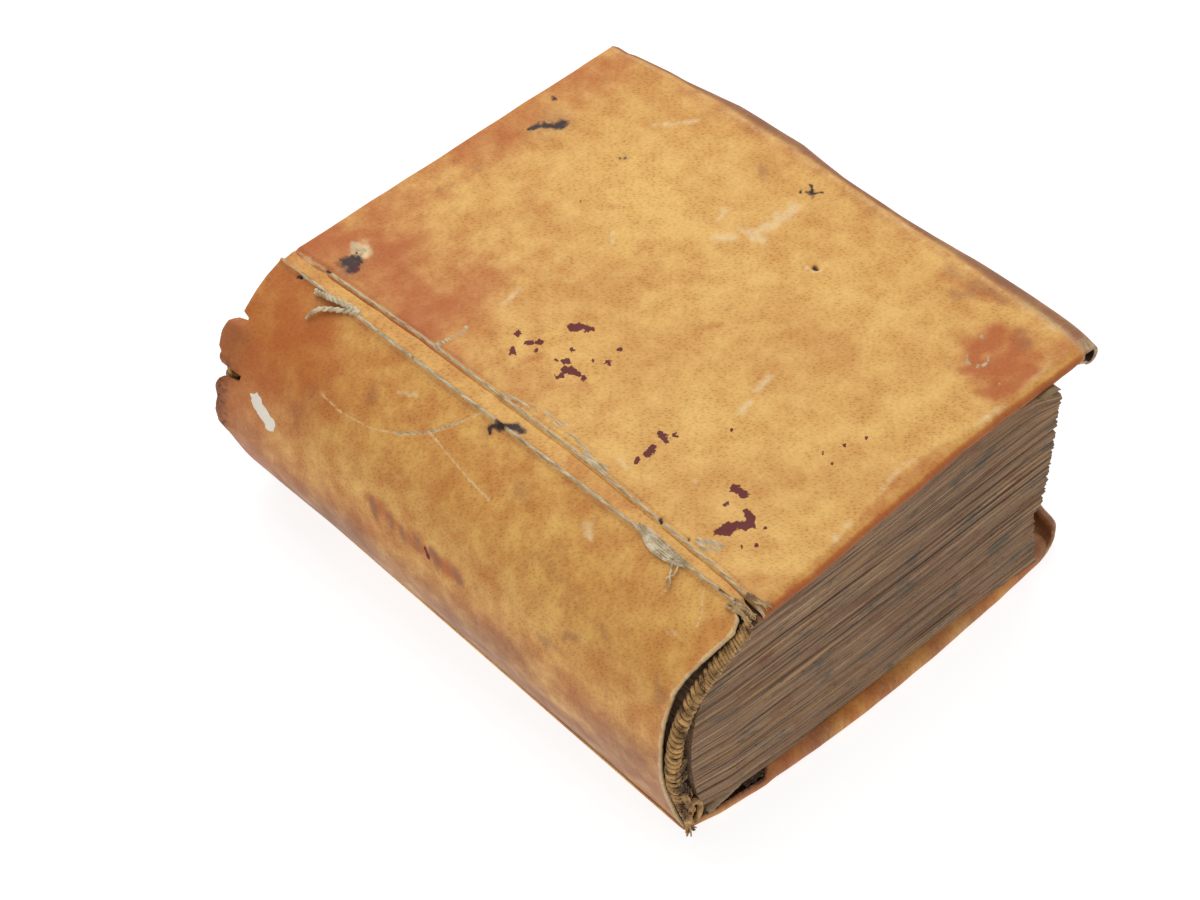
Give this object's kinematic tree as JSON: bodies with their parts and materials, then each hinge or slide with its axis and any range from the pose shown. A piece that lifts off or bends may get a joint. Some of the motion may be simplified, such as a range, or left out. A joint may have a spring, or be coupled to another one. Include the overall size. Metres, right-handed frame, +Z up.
{
  "type": "antique leather book",
  "caption": "Small thick book in a worn laced leather case over thin boards, with wound endbands and covers that open.",
  "frame": {"origin": "middle of the closed book's footprint, on the surface it lies on", "axes": "+Z up through the front cover, +Y from the tail towards the head along the spine, +X from the spine towards the fore-edge"},
  "size_m": [0.1386, 0.1554, 0.0607],
  "materials": {
    "cover_leather": "satin",
    "leaves": "matte",
    "pastedown_paper": "matte",
    "lining_paper": "matte",
    "pasteboard": "matte",
    "support_leather": "matte",
    "band_core": "matte",
    "band_thread": "matte"
  },
  "bodies": {
    "book": {"text_block": "leaves", "spine_lining": "lining_paper", "sewing_support_tail": "support_leather", "sewing_support_middle": "support_leather", "sewing_support_head": "support_leather", "head_endband_core": "band_core", "head_endband_thread": "band_thread", "tail_endband_core": "band_core", "tail_endband_thread": "band_thread", "spine_leather": "cover_leather"},
    "front_cover": {"front_cover_leather": "cover_leather", "front_board": "pasteboard", "front_pastedown": "pastedown_paper"},
    "back_cover": {"back_cover_leather": "cover_leather", "back_board": "pasteboard", "back_pastedown": "pastedown_paper"}
  },
  "joints": [
    {"name": "front_joint", "type": "hinge", "parent": "book", "child": "front_cover", "pos_m": [-0.03985, 0, 0.0608], "axis": [0, -1, 0], "range_deg": [0, 165]},
    {"name": "back_joint", "type": "hinge", "parent": "book", "child": "back_cover", "pos_m": [-0.05995, 0.00295, -0.0001], "axis": [0.0413, 0.9991, 0], "range_deg": [0, 165]}
  ]
}
